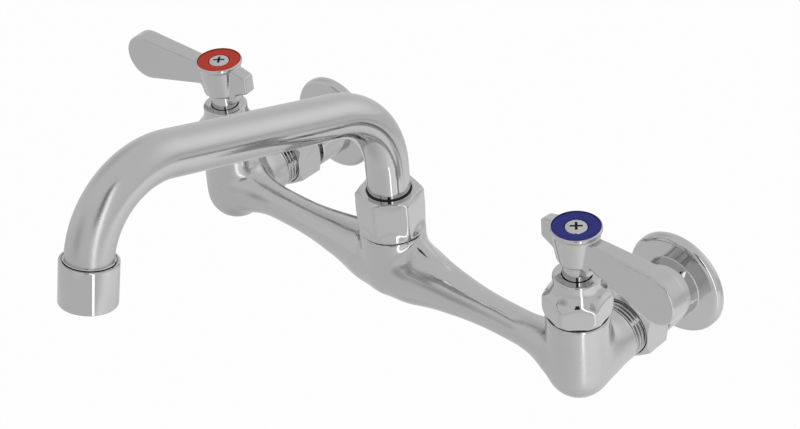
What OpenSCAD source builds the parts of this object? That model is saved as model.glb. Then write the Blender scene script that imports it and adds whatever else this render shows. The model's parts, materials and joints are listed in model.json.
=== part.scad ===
// Wall-mounted mixing faucet with two lever handles and a swinging spout, in millimetres.
// The wall is the plane y = 0 and the faucet stands out from it towards -Y, with +Z up.
// The inlets lie on z = 0, hot at -X and cold at +X, and the origin is midway between them.

/* [Layout] */
// Distance between the hot and the cold inlet
centre_distance = 203.2; // [196:0.1:230]
// Distance from the wall to the valve stems and to the spout's axis
valve_offset = 67; // [63:0.5:90]
// Distance from the spout's axis to the middle of its tip
spout_reach = 152.4; // [130:0.1:260]
// Angle of the shut levers in front of the line of the inlets
lever_turn = 6; // [0:1:15]

/* [Body casting] */
// Diameter of a horizontal arm at its thinnest
arm_d = 14.6; // [14:0.2:16]
// Height of the arms' axis above the inlets
arm_z = 2.5; // [1.5:0.1:3.5]
// Diameter of the arms where they flare into the hub
hub_flare_d = 27.2; // [24:0.2:28]
// Distance from the hub's axis at which that flare ends
hub_flare_l = 62; // [50:1:66]
// Diameter of the arms where they flare into a valve body
valve_flare_d = 23.2; // [21:0.2:25]
// Length of that flare
valve_flare_l = 19; // [14:0.5:22]
// Diameter of the hub under the spout
hub_d = 28.4; // [27.6:0.2:30]
// Height of the middle of the ball that closes the hub below
hub_ball_z = 2; // [-1:0.1:2]
// Height of the hub's shoulder under the spout nut
hub_shoulder_z = 21.6; // [20:0.2:24]
// Diameter of a valve body
boss_d = 26.2; // [25.8:0.2:27.4]
// Height of the top of a valve body
boss_z = 25; // [24:0.2:28]
// Height of the middle of the ball that closes a valve body below
boss_ball_z = -2; // [-3:0.1:-1]
// How much wider the balls are than the hub and the valve bodies
ball_extra = 0.4; // [0.4:0.1:1]
// Diameter of the arm that runs to an inlet
inlet_arm_d = 25.6; // [25:0.2:25.6]

/* [Waterways] */
// Diameter of the waterway through the arms
mix_bore_d = 8.6; // [7:0.2:9]
// Diameter of the waterway through a valve seat
seat_bore_d = 9; // [8:0.2:9.4]
// Diameter of the slanted waterway that feeds the seat
feed_bore_d = 6.4; // [5:0.2:6.6]
// Height of the floor under the seat, where that waterway ends
feed_z = -9.2; // [-9.6:0.1:-9]
// Diameter of the waterway in an inlet arm
inlet_bore_d = 15; // [12:0.5:16]
// Depth of that waterway behind the threaded part of the arm
inlet_bore_l = 4; // [2:0.5:5]
// Diameter of a valve chamber
chamber_d = 18.6; // [18.2:0.1:19]
// Height of a valve chamber's floor
chamber_z = -2.5; // [-3:0.1:-2]
// Height of the step that carries the cartridge
cartridge_step_z = 11; // [10.6:0.1:12]
// Diameter of the thread above that step
boss_thread_d = 21.2; // [20.8:0.1:21.8]

/* [Inlets] */
// Diameter of a wall flange
flange_d = 46.8; // [40:0.2:56]
// Thickness of a wall flange
flange_t = 4.4; // [4:0.2:8]
// Rounding of the flange's front rim
flange_round = 2.8; // [1:0.1:3.4]
// Diameter of the socket behind the flange's face
socket_d = 25.6; // [25:0.2:32]
// Length of that socket in front of the flange
socket_l = 18.6; // [16:0.1:24]
// Diameter of the pipe thread in the socket
pipe_thread_d = 20; // [19:0.1:20.6]
// Depth of the pipe thread from the wall
pipe_thread_l = 13; // [10:0.5:14]
// Length of the bare neck between socket and coupling nut
neck_l = 2.7; // [1.5:0.1:5]
// Diameter of that neck
neck_d = 19; // [18:0.1:19.4]
// Length of a coupling nut
coupling_l = 14; // [13:0.1:18]
// Coupling nut across its flats
coupling_af = 28; // [27.4:0.1:32]
// Diameter of the thread in a coupling nut
coupling_thread_d = 24.8; // [24:0.1:25]
// Thickness of the coupling nut's inner shoulder
coupling_lip_t = 1.8; // [1.4:0.1:2.6]
// Length of thread that shows in front of a coupling nut
thread_show = 5.2; // [5:0.1:8]
// Diameter of the thread's crests where it shows
thread_crest_d = 25.4; // [25:0.1:25.7]
// Thickness of a union washer
union_washer_t = 1.5; // [1:0.1:2]
// Thickness of the union tail's collar
tail_collar_t = 2; // [1.6:0.1:3]

/* [Bonnets and cartridges] */
// Thickness of a bonnet gasket
gasket_t = 0.5; // [0.3:0.1:1]
// Bonnet across its flats
bonnet_af = 25; // [24.6:0.1:27]
// Height of a bonnet above its gasket
bonnet_h = 19; // [18:0.1:24]
// Height of the bonnet's hexagon
bonnet_hex_h = 8.8; // [6:0.1:9]
// Diameter of the bonnet's neck
bonnet_neck_d = 19.9; // [18.6:0.1:21]
// Height of the ridges that run from the hexagon to the neck
bonnet_ridge_h = 7; // [5:0.1:7.4]
// Thickness of the bonnet's roof
bonnet_roof_t = 4; // [3:0.1:5]
// Diameter of a cartridge's flange
cartridge_flange_d = 20.4; // [20:0.1:20.8]
// Thickness of that flange
cartridge_flange_t = 2.5; // [2:0.1:3.5]
// Diameter of a cartridge's barrel
barrel_d = 14; // [12.6:0.1:14.6]
// Diameter of a stem
stem_d = 9; // [8.4:0.1:9.4]
// Height of a rubber seat seal
seat_seal_h = 3; // [2.4:0.1:3.4]
// Thickness of a fixed ceramic disc
fixed_disc_t = 3; // [2.4:0.1:3.4]
// Thickness of a turning ceramic disc
turning_disc_t = 2.8; // [2.4:0.1:3.2]
// Diameter of the ceramic discs
disc_d = 14.6; // [14:0.1:14.9]
// Thickness of the foot of a stem
stem_foot_t = 3; // [2.4:0.1:3.4]
// Width of the tongue between stem and disc
tongue_w = 3; // [2:0.1:4]
// Thickness of a stem clip
clip_t = 0.8; // [0.5:0.1:1.2]

/* [Levers] */
// Length of a lever from its axis to its tip
lever_l = 54; // [45:0.5:90]
// Length of the stub behind the axis
stub_l = 17; // [14:0.5:24]
// Slope of the lever's top edge
lever_rise = 4.6; // [0:0.1:8]
// Slope of the lever's bottom edge
lever_fall = 12.1; // [6:0.1:16]
// Thickness of the stub's end
stub_t = 6; // [5:0.1:7.4]
// Thickness of the lever at its tip
lever_tip_t = 8.6; // [7:0.1:11]
// Height of the lever's hub above the bonnet
lever_hub_h = 23.1; // [22:0.1:30]
// Diameter of the hub's cap
cap_d = 20.6; // [20:0.1:24]
// Diameter of the hub's cone at its lower end
cone_d = 14.8; // [13.4:0.1:17]
// Length of the web under the hub, along the lever
web_l = 18; // [14:0.5:24]
// Diameter of the hub's collar under the cone
collar_d = 11.9; // [11:0.1:12.4]
// Square drive at the top of a stem
drive_w = 6.2; // [5.4:0.1:6.3]
// Diameter of an index ring
index_d = 19.4; // [17:0.1:19.5]
// Thickness of an index ring
index_t = 1.8; // [1:0.1:2.2]
// Diameter of a handle screw's head
screw_head_d = 9.2; // [8:0.1:10]
// Diameter of a handle screw's shank
screw_d = 4; // [3:0.1:4.6]
// Length of a handle screw's shank
screw_l = 13; // [10:0.5:13.5]

/* [Spout] */
// Outside diameter of the spout tube
tube_d = 18.5; // [18:0.1:19.2]
// Wall of the spout tube
tube_wall = 1.2; // [0.8:0.1:1.6]
// Height at which the riser starts to bend
riser_z = 53.8; // [48:0.2:90]
// Radius of the bend over the riser
riser_bend_r = 39.8; // [28:0.2:50]
// Slope of the straight run above level
run_rise = 18.2; // [8:0.1:30]
// Radius of the bend at the tip
tip_bend_r = 32.6; // [22:0.2:45]
// Slope of the tip below level
tip_fall = 76.4; // [60:0.1:90]
// Spout nut across its flats
spout_nut_af = 25.8; // [25.6:0.1:30]
// Height of the spout nut
spout_nut_h = 19.4; // [18.8:0.1:26]
// Diameter of the thread between spout nut and hub
spout_thread_d = 22.2; // [21.6:0.1:22.8]
// Height of the hub's threaded neck
spout_neck_h = 11.4; // [10:0.1:12]
// Diameter of the spigot that turns in the hub
spigot_d = 16; // [14:0.1:16.4]
// Length of that spigot below its flange
spigot_l = 25; // [20:0.5:26]
// Thickness of the spigot's flange
spigot_flange_t = 2.5; // [2:0.1:3]
// Thickness of the friction washer under the flange
friction_t = 1; // [0.6:0.1:1.4]
// Thickness of the split ring over the flange
split_ring_t = 1.2; // [0.8:0.1:1.4]
// Thickness of the O-rings on the spigot
oring_t = 1.8; // [1.4:0.1:2]
// Thickness of the wiper ring on top of the spout nut
wiper_t = 1.5; // [1:0.1:1.8]

/* [Aerator] */
// Diameter of the aerator shell
shell_d = 22.5; // [22:0.1:26]
// Length of the aerator shell
shell_l = 17.7; // [16.8:0.1:24]
// Diameter of the thread in the shell
tip_thread_d = 20.6; // [20.4:0.1:20.9]
// Length of the threaded tip of the spout
tip_thread_l = 9; // [7:0.1:9.4]
// Diameter of the shell's bore below its thread
shell_bore_d = 18; // [16:0.1:19]
// Thickness of the aerator washer
aerator_washer_t = 1.5; // [1:0.1:2]
// Thickness of the flange of the aerator insert
insert_flange_t = 1; // [0.8:0.1:1.4]
// Length of the aerator insert below its flange
insert_l = 5; // [3.6:0.1:5.6]
// Thickness of the aerator's wire screen
screen_t = 0.5; // [0.3:0.1:0.8]

/* [Fits] */
// Gap on the radius between two screwed threads
thread_gap = 0.1; // [0.05:0.01:0.15]
// Gap on the radius where one piece turns in another
turn_gap = 0.05; // [0.03:0.01:0.08]
// Gap that keeps turning pieces off the fixed ones
clear_gap = 0.4; // [0.3:0.05:0.5]
// Gap between pieces that are fitted together and don't turn
fit_gap = 0.1; // [0.05:0.01:0.15]

/* [Hidden] */
$fn = 96;
HOT = -1;
COLD = 1;
SIDES = [HOT, COLD];

chrome = "lightsteelblue";
brass = "darkgoldenrod";
rubber = "dimgray";
fibre = "saddlebrown";
ceramic = "white";
plastic = "whitesmoke";
steel = "silver";
hot_red = "orangered";
cold_blue = "mediumblue";

// Extra length of a cutter past the face that it cuts
past = 1;
// Straight pieces in which a curved outline is drawn
arc_steps = 8;
flare_steps = 12;

// Distances from the wall along an inlet
socket_face_y = flange_t + socket_l;
coupling_back_y = socket_face_y + neck_l;
coupling_front_y = coupling_back_y + coupling_l;
arm_face_y = coupling_front_y + thread_show;
collar_back_y = coupling_back_y + coupling_lip_t + fit_gap;
collar_front_y = collar_back_y + tail_collar_t;
nipple_end_y = collar_front_y + union_washer_t;
tail_bore_d = neck_d - 4;
tail_screw_d = pipe_thread_d - 3;
tail_screw_l = 4;
nipple_d = coupling_thread_d - 2*thread_gap;
thread_pitch = 2;
thread_crest_t = 0.9;
nut_mouth_d = coupling_thread_d + 1.4;

// Heights in a valve, from the chamber's floor up
seal_top_z = chamber_z + seat_seal_h;
fixed_disc_top_z = seal_top_z + fixed_disc_t;
turning_disc_z = fixed_disc_top_z + turn_gap;
turning_disc_top_z = turning_disc_z + turning_disc_t;
stem_foot_top_z = turning_disc_top_z + stem_foot_t;
housing_z = chamber_z + 0.5;
housing_roof_z = stem_foot_top_z + clear_gap;
housing_d = chamber_d - 2*fit_gap*2;
disc_room_d = disc_d + 2*clear_gap;
housing_flange_top_z = cartridge_step_z + cartridge_flange_t;
bonnet_z = boss_z + gasket_t;
bonnet_top_z = bonnet_z + bonnet_h;
bonnet_room_top_z = bonnet_top_z - bonnet_roof_t;
housing_top_z = bonnet_room_top_z - clip_t - 3*clear_gap;
clip_z = housing_top_z + clear_gap;
stem_bore_d = stem_d + 2*turn_gap;
bonnet_thread_d = boss_thread_d - 2*thread_gap;
bonnet_room_d = barrel_d + 2*clear_gap;
roof_bore_d = collar_d + 2*clear_gap;
stem_groove_d = stem_d - 2.8;
stem_oring_t = (stem_d - stem_groove_d)/2;
stem_groove_h = stem_oring_t + 0.4;
stem_groove_pitch = 6;
lower_groove_z = housing_flange_top_z + 4;
bonnet_facing = -50;
spout_nut_facing = -45;
clip_groove_d = stem_d - 1.6;
tongue_l = stem_d;
tongue_h = turning_disc_t/2;
port_w = tongue_w + 2.6;
seat_ring_d = disc_d - 4.6;

// Heights in a lever, from the bonnet's top up
lever_top_z = bonnet_top_z + lever_hub_h;
cap_rim_h = 1.4;
cone_z = bonnet_top_z + 6.7;
web_z = bonnet_top_z + 2.7;
lever_bottom_z = bonnet_top_z - 1.4;
ring_recess_h = 2.2;
ring_recess_z = lever_top_z - ring_recess_h;
stem_top_z = ring_recess_z - 5.2;
drive_z = bonnet_top_z + 0.6;
screw_end_z = ring_recess_z - screw_l;
screw_head_h = 1.9;
// Height of the lever's edges on its own axis
lever_edge_z = lever_top_z - 3.3;
lever_foot_z = lever_edge_z - 8.8;
// The tip is a round that touches the sloping top and bottom edges
tip_round_r = let (
    half = (lever_rise + lever_fall)/2,
    slope = tan(lever_rise) + tan(lever_fall),
    depth = lever_edge_z - lever_foot_z + lever_l*slope
) depth*cos(half)/(2 + slope*cos(half));
tip_round_s = lever_l - tip_round_r;
tip_round_z = (lever_edge_z + lever_foot_z + tip_round_s*(tan(lever_rise) - tan(lever_fall)))/2;

// Heights in the spout's swivel
spout_neck_top_z = hub_shoulder_z + spout_neck_h;
spigot_flange_z = spout_neck_top_z + friction_t;
spigot_flange_top_z = spigot_flange_z + spigot_flange_t;
split_ring_top_z = spigot_flange_top_z + split_ring_t;
spout_nut_z = hub_shoulder_z + 0.4;
spout_nut_top_z = spout_nut_z + spout_nut_h;
nut_shoulder_z = split_ring_top_z + clear_gap;
nut_room_d = spout_thread_d;
hub_neck_d = spout_thread_d - 2*thread_gap;
spigot_flange_d = hub_neck_d - 0.8;
spigot_bore_d = spigot_d - 5;
hub_bore_d = spigot_d + 2*turn_gap;
spigot_bottom_z = spigot_flange_z - spigot_l;
hub_bore_z = spigot_bottom_z - 1;
oring_groove_d = spigot_d - 2*oring_t;
oring_groove_h = oring_t + 0.4;
oring_pitch = 7;
lower_oring_z = spigot_bottom_z + 6;
nut_top_bore_d = tube_d + 2*clear_gap;
tube_bore_d = tube_d - 2*tube_wall;
spigot_stub_d = tube_bore_d - 2*turn_gap;
spigot_stub_h = 10;
wiper_z = spout_nut_top_z + clear_gap + wiper_t/2;

// The spout's path in its own upright plane
bend_angle = 90 - run_rise;
tip_angle = run_rise + tip_fall;
bend_out = riser_bend_r*(1 - cos(bend_angle));
bend_up = riser_bend_r*sin(bend_angle);
tip_out = tip_bend_r*(sin(run_rise) + sin(tip_fall));
run_l = (spout_reach - bend_out - tip_out)/cos(run_rise);
run_start = [bend_out, riser_z + bend_up];
run_end = run_start + run_l*[cos(run_rise), sin(run_rise)];
tip_centre = run_end + tip_bend_r*[sin(run_rise), -cos(run_rise)];
tip_start = tip_centre + tip_bend_r*[sin(tip_fall), cos(tip_fall)];

// Distances in the aerator along the tip's axis
tip_collar_s = 1.5;
tip_end_s = tip_collar_s + tip_thread_l - 1.5;
washer_end_s = tip_end_s + aerator_washer_t;
shell_step_s = washer_end_s + insert_flange_t;
insert_end_s = shell_step_s + insert_l;
insert_wall = 1;
insert_floor_t = 1;
insert_d = shell_bore_d - 2*fit_gap;
tip_collar_d = tip_thread_d - 2*thread_gap;
grid_pitch = 3;
grid_hole_d = 2.2;
grid_rings = [0, 1, 2];
screen_s = insert_end_s - insert_floor_t - screen_t - 1;

// Points of an arc from angle a to angle b
function arc_points(centre, r, a, b, steps = arc_steps) = [
    for (i = [0:steps]) let (t = a + (b - a)*i/steps) centre + r*[cos(t), sin(t)]
];

// Places its children on the stem axis of one side
module at_valve(side) {
    translate([side*centre_distance/2, -valve_offset, 0]) children();
}

// Places its children on the inlet of one side, with their +Z leading away from the wall
module at_inlet(side) {
    translate([side*centre_distance/2, 0, 0]) rotate([90, 0, 0]) children();
}

// Places its children on the spout's axis, with their +X leading along the spout
module at_spout() {
    translate([0, -valve_offset, 0]) rotate([0, 0, -90]) children();
}

// Places its children on the spout's tip, with their +Z leading down and out of it
module at_tip() {
    at_spout() translate([tip_start[0], 0, tip_start[1]]) rotate([0, 90 + tip_fall, 0]) children();
}

// A round piece between two heights
module disc(d, from, to) {
    translate([0, 0, from]) cylinder(h = to - from, d = d);
}

// A round hole that runs past both heights
module hole(d, from, to) {
    disc(d, from - past, to + past);
}

// A ring between two heights
module ring(d, bore, from, to) {
    difference() {
        disc(d, from, to);
        hole(bore, from, to);
    }
}

// A round rubber ring of thickness t that lies on a cylinder of diameter d
module oring(d, t, z) {
    translate([0, 0, z]) rotate_extrude() translate([d/2 + t/2, 0]) circle(d = t, $fn = 32);
}

// A hexagon with flats across af, one of them facing the angle given
module hexagon(af, from, to, facing) {
    translate([0, 0, from]) rotate([0, 0, facing + 30]) cylinder(h = to - from, d = af/cos(30), $fn = 6);
}

// Both arms, as one turned shape that flares into the hub and the valve bodies
module arms() {
    half = centre_distance/2;
    valve_x = half - 12;
    hub_x = 14;
    hub_part = [
        for (i = [0:flare_steps]) let (t = i/flare_steps)
            [arm_d/2 + (hub_flare_d - arm_d)/2*pow(1 - t, 2), hub_x + t*(hub_flare_l - hub_x)]
    ];
    valve_part = [
        for (i = [0:flare_steps]) let (t = i/flare_steps)
            [arm_d/2 + (valve_flare_d - arm_d)/2*pow(t, 2), valve_x - valve_flare_l*(1 - t)]
    ];
    half_outline = concat([[hub_flare_d/2, 0]], hub_part, valve_part, [[valve_flare_d/2, half], [0, half]]);
    for (side = SIDES)
        translate([0, -valve_offset, arm_z]) rotate([0, side*90, 0])
            rotate_extrude() polygon(concat([[0, 0]], half_outline));
}

// The upright column of a valve body and its round bottom
module valve_body_outside() {
    disc(boss_d, boss_ball_z, boss_z);
    translate([0, 0, boss_ball_z]) sphere(d = boss_d + ball_extra);
}

// The arm and the threaded nipple that lead to an inlet
module inlet_arm_outside() {
    crests = floor((thread_show - 1)/thread_pitch);
    disc(inlet_arm_d, arm_face_y, valve_offset);
    disc(nipple_d, nipple_end_y, arm_face_y);
    for (i = [1:crests]) let (y = arm_face_y - i*thread_pitch + thread_crest_t)
        disc(thread_crest_d, y - thread_crest_t, y);
}

// The chamber that holds a cartridge, with its seat port below
module valve_chamber() {
    disc(boss_thread_d, cartridge_step_z, boss_z + past);
    disc(chamber_d, chamber_z, cartridge_step_z + past);
    disc(seat_bore_d, feed_z, chamber_z + past);
}

// The slanted waterway from an inlet's bore to the seat
module feed_port() {
    start_z = -3.6;
    end_z = feed_z + 1;
    run = valve_offset - arm_face_y - inlet_bore_l + 3;
    slope = atan2(start_z - end_z, run);
    translate([0, run, start_z]) rotate([90 + slope, 0, 0]) cylinder(h = run/cos(slope), d = feed_bore_d);
}

module faucet_body() {
    color(chrome) difference() {
        union() {
            arms();
            translate([0, -valve_offset, 0]) {
                disc(hub_d, hub_ball_z, hub_shoulder_z);
                disc(hub_neck_d, hub_shoulder_z - past, spout_neck_top_z);
                translate([0, 0, hub_ball_z]) sphere(d = hub_d + ball_extra);
            }
            for (side = SIDES) {
                at_valve(side) valve_body_outside();
                at_inlet(side) inlet_arm_outside();
            }
        }
        translate([-centre_distance/2, -valve_offset, arm_z]) rotate([0, 90, 0])
            cylinder(h = centre_distance, d = mix_bore_d);
        translate([0, -valve_offset, 0]) disc(hub_bore_d, hub_bore_z, spout_neck_top_z + past);
        for (side = SIDES) {
            at_valve(side) valve_chamber();
            at_valve(side) feed_port();
            at_inlet(side) disc(inlet_bore_d, nipple_end_y - past, arm_face_y + inlet_bore_l);
        }
    }
}

// The flange that lies on the wall, with the socket for the supply pipe
module wall_flange(side) {
    rim = flange_d/2;
    outline = concat(
        [[0, 0], [rim, 0]],
        arc_points([rim - flange_round, flange_t - flange_round], flange_round, 0, 90),
        [[socket_d/2, flange_t], [socket_d/2, socket_face_y - 0.8], [socket_d/2 - 0.8, socket_face_y]],
        [[0, socket_face_y]]
    );
    color(chrome) at_inlet(side) difference() {
        rotate_extrude() polygon(outline);
        disc(pipe_thread_d, -past, pipe_thread_l);
        disc(tail_bore_d, pipe_thread_l - past, socket_face_y);
        disc(tail_screw_d, socket_face_y - tail_screw_l, socket_face_y + past);
    }
}

// The tail that the coupling nut draws against the body
module union_tail(side) {
    color(brass) at_inlet(side) difference() {
        union() {
            disc(tail_screw_d - 2*thread_gap, socket_face_y - tail_screw_l, socket_face_y);
            disc(neck_d, socket_face_y, collar_back_y);
            disc(nipple_d, collar_back_y, collar_front_y);
        }
        hole(tail_bore_d, socket_face_y - tail_screw_l, collar_front_y);
    }
}

module coupling_nut(side) {
    corner = coupling_af/2/cos(30);
    chamfer = corner - coupling_af/2;
    outline = [
        [0, coupling_back_y],
        [coupling_af/2 - 0.2, coupling_back_y],
        [corner + 0.2, coupling_back_y + chamfer*0.8],
        [corner + 0.2, coupling_front_y - chamfer*0.8],
        [coupling_af/2 - 0.2, coupling_front_y],
        [0, coupling_front_y]
    ];
    color(chrome) at_inlet(side) difference() {
        intersection() {
            hexagon(coupling_af, coupling_back_y, coupling_front_y, 0);
            rotate_extrude() polygon(outline);
        }
        disc(coupling_thread_d, coupling_back_y + coupling_lip_t, coupling_front_y + past);
        disc(nut_mouth_d, coupling_front_y - 1.2, coupling_front_y + past);
        hole(neck_d + 2*fit_gap, coupling_back_y, coupling_front_y);
    }
}

module union_washer(side) {
    color(fibre) at_inlet(side) ring(nipple_d - 0.6, inlet_bore_d, collar_front_y, nipple_end_y);
}

module bonnet_gasket(side) {
    color(rubber) at_valve(side) ring(boss_d - 1, boss_thread_d + 0.4, boss_z, bonnet_z);
}

// Section across two flats of a bonnet, scooped out above them to meet the neck
function bonnet_section() = let (
    flat = bonnet_af/2,
    neck = bonnet_neck_d/2 + 0.2,
    scoop_z = bonnet_z + bonnet_hex_h,
    scoop = flat - neck,
    flank = concat(
        [[flat, bonnet_z - past], [flat, scoop_z]],
        [for (i = [1:arc_steps]) let (t = 90*i/arc_steps)
            [neck + scoop*(1 - sin(t)), scoop_z + 1.5*scoop*(1 - cos(t))]],
        [[neck, bonnet_top_z + past]]
    )
) concat(flank, [for (i = [len(flank) - 1:-1:0]) [-flank[i][0], flank[i][1]]]);

// The bonnet that clamps a cartridge into the body
module bonnet(side) {
    corner = bonnet_af/2/cos(30);
    ridge_z = bonnet_z + bonnet_hex_h - 0.4;
    neck = bonnet_neck_d/2;
    outline = [
        [0, bonnet_z],
        [bonnet_af/2 + 0.4, bonnet_z],
        [corner - 0.1, bonnet_z + 1.4],
        [corner + 0.1, bonnet_z + 2.2],
        [corner + 0.1, ridge_z],
        [corner - 0.9, ridge_z + 0.7],
        [neck, ridge_z + bonnet_ridge_h],
        [neck, bonnet_top_z - 0.8],
        [neck - 0.3, bonnet_top_z - 0.2],
        [neck - 0.9, bonnet_top_z],
        [0, bonnet_top_z]
    ];
    color(chrome) at_valve(side) difference() {
        union() {
            intersection() {
                rotate_extrude() polygon(outline);
                bonnet_slab(0);
                bonnet_slab(60);
                bonnet_slab(120);
            }
            disc(bonnet_thread_d, housing_flange_top_z, bonnet_z + past);
        }
        disc(bonnet_room_d, housing_flange_top_z - past, bonnet_room_top_z);
        hole(roof_bore_d, bonnet_room_top_z, bonnet_top_z);
    }
}

// A slab between two of a bonnet's flats, turned to one of the three pairs of them
module bonnet_slab(turn) {
    rotate([0, 0, bonnet_facing + turn]) rotate([90, 0, 0])
        linear_extrude(height = 2*bonnet_af, center = true) polygon(bonnet_section());
}

// The brass housing of a quarter-turn cartridge
module cartridge_housing(side) {
    window_z = turning_disc_z;
    color(brass) at_valve(side) difference() {
        union() {
            disc(housing_d, housing_z, housing_flange_top_z);
            disc(cartridge_flange_d, cartridge_step_z, housing_flange_top_z);
            disc(barrel_d, housing_flange_top_z, housing_top_z);
        }
        disc(disc_room_d, housing_z - past, housing_roof_z);
        hole(stem_bore_d, housing_roof_z, housing_top_z);
        translate([-housing_d, -port_w/2, window_z])
            cube([2*housing_d, port_w, turning_disc_t + stem_foot_t/2]);
    }
}

module seat_seal(side) {
    color(rubber) at_valve(side) ring(disc_d, seat_ring_d, chamber_z, seal_top_z);
}

// Two slots that let the water through a ceramic disc
module disc_slots(from, to) {
    for (turn = [0, 180]) rotate([0, 0, turn])
        translate([2.4, -port_w/2, from - past]) cube([2.4, port_w, to - from + 2*past]);
}

module fixed_disc(side) {
    color(ceramic) at_valve(side) difference() {
        disc(disc_d, seal_top_z, fixed_disc_top_z);
        disc_slots(seal_top_z, fixed_disc_top_z);
    }
}

// The disc that turns with the stem, shut at rest with its slots across those of the fixed disc
module turning_disc(side) {
    color(ceramic) at_valve(side) rotate([0, 0, 90]) difference() {
        disc(disc_d - 0.4, turning_disc_z, turning_disc_top_z);
        disc_slots(turning_disc_z, turning_disc_top_z);
        translate([-tongue_l/2 - fit_gap, -tongue_w/2 - fit_gap, turning_disc_top_z - tongue_h])
            cube([tongue_l + 2*fit_gap, tongue_w + 2*fit_gap, tongue_h + past]);
    }
}

module stem(side) {
    color(brass) at_valve(side) difference() {
        union() {
            disc(disc_d - 0.4, turning_disc_top_z, stem_foot_top_z);
            rotate([0, 0, 90]) translate([-tongue_l/2, -tongue_w/2, turning_disc_top_z - tongue_h])
                cube([tongue_l, tongue_w, tongue_h + 1]);
            disc(stem_d, turning_disc_top_z, drive_z);
            rotate([0, 0, lever_angle(side)])
                translate([-drive_w/2, -drive_w/2, drive_z - past]) cube([drive_w, drive_w, stem_top_z - drive_z + past]);
        }
        for (i = [0, 1]) ring(stem_d + 2, stem_groove_d, oring_floor(i), oring_floor(i) + stem_groove_h);
        ring(stem_d + 2, clip_groove_d, clip_z, clip_z + clip_t);
        disc(screw_d + 2*thread_gap, screw_end_z - 1, stem_top_z + past);
    }
}

// Height of the floor of one of a stem's grooves
function oring_floor(i) = lower_groove_z + i*stem_groove_pitch;

// Direction in which a lever points at rest
function lever_angle(side) = side == COLD ? -lever_turn : 180 + lever_turn;

module stem_orings(side) {
    color(rubber) at_valve(side) for (i = [0, 1])
        oring(stem_groove_d, stem_oring_t, oring_floor(i) + stem_groove_h/2);
}

// The open clip that holds a stem in its housing
module stem_clip(side) {
    color(steel) at_valve(side) difference() {
        ring(bonnet_room_d - 4*clear_gap, clip_groove_d + 2*turn_gap, clip_z, clip_z + clip_t);
        translate([0, -clip_groove_d/3, clip_z - past]) cube([barrel_d, clip_groove_d/1.5, clip_t + 2*past]);
    }
}

// Side view of a lever, from its stub to its round tip, with the web under the hub
module lever_side() {
    top = lever_edge_z + 0.7;
    web = web_l/2;
    foot = lever_foot_z - web*tan(lever_fall);
    stub_foot = lever_foot_z + 0.2;
    tip = arc_points([tip_round_s, tip_round_z], tip_round_r, 90 + lever_rise, -90 - lever_fall, 3*arc_steps);
    polygon(concat(
        [[-stub_l, stub_foot + 0.6], [-stub_l, top - 1.4], [-stub_l + 0.8, top - 0.7]],
        [[-web - 2, top + 0.9], [web, top]],
        tip,
        [[web + 1.5, foot - 0.3], [web + 0.9, foot - 1.2], [web, web_z + 1.6]],
        [[web - 1, web_z + 0.5], [web - 2.6, web_z], [2.6 - web, web_z], [1 - web, web_z + 0.5]],
        [[-web, web_z + 1.6], [-web - 1, foot - 1], [-web - 1.8, foot - 0.2], [0.8 - stub_l, stub_foot - 0.2]]
    ));
}

// Plan of a lever, thicker towards its tip
module lever_plan() {
    tip = lever_tip_t/2;
    end = stub_t/2;
    corner = 0.8;
    polygon([
        [-stub_l - past, -end + corner],
        [-stub_l, -end + corner],
        [-stub_l + corner, -end],
        [lever_l - corner, -tip],
        [lever_l, -tip + corner],
        [lever_l + past, -tip + corner],
        [lever_l + past, tip - corner],
        [lever_l, tip - corner],
        [lever_l - corner, tip],
        [-stub_l + corner, end],
        [-stub_l, end - corner],
        [-stub_l - past, end - corner]
    ]);
}

// The lever: a conical hub with a flat paddle on one side and a stub on the other
module lever(side) {
    hub = [
        [0, lever_bottom_z],
        [collar_d/2, lever_bottom_z],
        [collar_d/2, cone_z],
        [cone_d/2 - 0.5, cone_z],
        [cone_d/2, cone_z + 0.6],
        [cap_d/2 - 0.5, lever_top_z - cap_rim_h - 0.5],
        [cap_d/2, lever_top_z - cap_rim_h],
        [cap_d/2, lever_top_z - 0.3],
        [cap_d/2 - 0.3, lever_top_z],
        [0, lever_top_z]
    ];
    blade_low = lever_foot_z - lever_l;
    blade_high = lever_top_z + lever_l;
    color(chrome) at_valve(side) rotate([0, 0, lever_angle(side)]) difference() {
        union() {
            rotate_extrude() polygon(hub);
            intersection() {
                translate([0, lever_tip_t, 0]) rotate([90, 0, 0])
                    linear_extrude(height = 2*lever_tip_t) lever_side();
                translate([0, 0, blade_low]) linear_extrude(height = blade_high - blade_low) lever_plan();
            }
        }
        disc(stem_d + 2*fit_gap, lever_bottom_z - past, drive_z);
        translate([-drive_w/2 - fit_gap, -drive_w/2 - fit_gap, drive_z - past])
            cube([drive_w + 2*fit_gap, drive_w + 2*fit_gap, stem_top_z + fit_gap - drive_z + past]);
        disc(screw_d + 4*fit_gap, stem_top_z, ring_recess_z + past);
        disc(index_d + 2*fit_gap, ring_recess_z, lever_top_z + past);
    }
}

module index_ring(side, tint) {
    color(tint) at_valve(side)
        ring(index_d, screw_head_d + 2*fit_gap, ring_recess_z, ring_recess_z + index_t);
}

// The screw that holds a lever on its stem, with a cross recess in its head
module handle_screw(side) {
    recess_w = 1.1;
    recess_l = screw_head_d*0.52;
    recess_h = 1.3;
    top_z = ring_recess_z + screw_head_h;
    color(steel) at_valve(side) difference() {
        union() {
            disc(screw_d, screw_end_z, ring_recess_z + past/2);
            disc(screw_head_d, ring_recess_z, top_z);
        }
        for (turn = [20, 110]) rotate([0, 0, turn])
            translate([-recess_l/2, -recess_w/2, top_z - recess_h]) cube([recess_l, recess_w, recess_h + past]);
    }
}

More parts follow.
